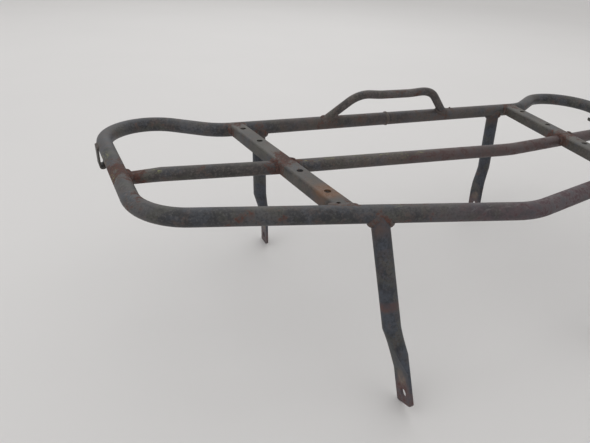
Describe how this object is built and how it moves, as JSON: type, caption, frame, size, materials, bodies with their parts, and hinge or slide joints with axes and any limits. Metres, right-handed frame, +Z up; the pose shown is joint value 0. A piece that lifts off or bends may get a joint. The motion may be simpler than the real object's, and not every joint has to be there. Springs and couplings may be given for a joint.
{
  "type": "rear rack",
  "caption": "Welded steel-tube rear carrier with a closed outer loop, pierced cross channels, a centre rail, splayed legs with drilled feet, a rod handle and strap hooks.",
  "frame": {"origin": "on the ground under the middle of the bounding box, with the rack standing on its four feet", "axes": "+X along the rack's long side, +Y towards the side with the grab handle, +Z up"},
  "size_m": [0.984, 0.4994, 0.2707],
  "materials": {
    "tube_steel": "worn satin charcoal paint over steel tube, with brown-red rust blooms",
    "leg_steel": "worn blue-black paint, rusty at the feet",
    "channel_steel": "thin grey-olive paint over pressed steel, rusty round one hole",
    "handle_steel": "worn dark paint with brown-red rust",
    "hook_steel": "dark painted strip",
    "weld_bead": "lumpy weld metal, painted over and rusted red-brown"
  },
  "bodies": {
    "root": {"centre_rail": "tube_steel", "channel_weld_handle_side_left": "weld_bead", "channel_weld_handle_side_right": "weld_bead", "channel_weld_open_side_left": "weld_bead", "channel_weld_open_side_right": "weld_bead", "crossing_weld_left": "weld_bead", "crossing_weld_right": "weld_bead", "grab_handle": "handle_steel", "handle_weld_left": "weld_bead", "handle_weld_right": "weld_bead", "hook_weld_left": "weld_bead", "hook_weld_right": "weld_bead", "left_channel": "channel_steel", "left_strap_hook": "hook_steel", "leg_handle_side_left": "leg_steel", "leg_handle_side_right": "leg_steel", "leg_open_side_left": "leg_steel", "leg_open_side_right": "leg_steel", "leg_weld_handle_side_left": "weld_bead", "leg_weld_handle_side_right": "weld_bead", "leg_weld_open_side_left": "weld_bead", "leg_weld_open_side_right": "weld_bead", "loop_butt_weld": "weld_bead", "outer_loop": "tube_steel", "rail_end_weld_left": "weld_bead", "rail_end_weld_right": "weld_bead", "right_channel": "channel_steel", "right_strap_hook": "hook_steel"}
  },
  "joints": []
}
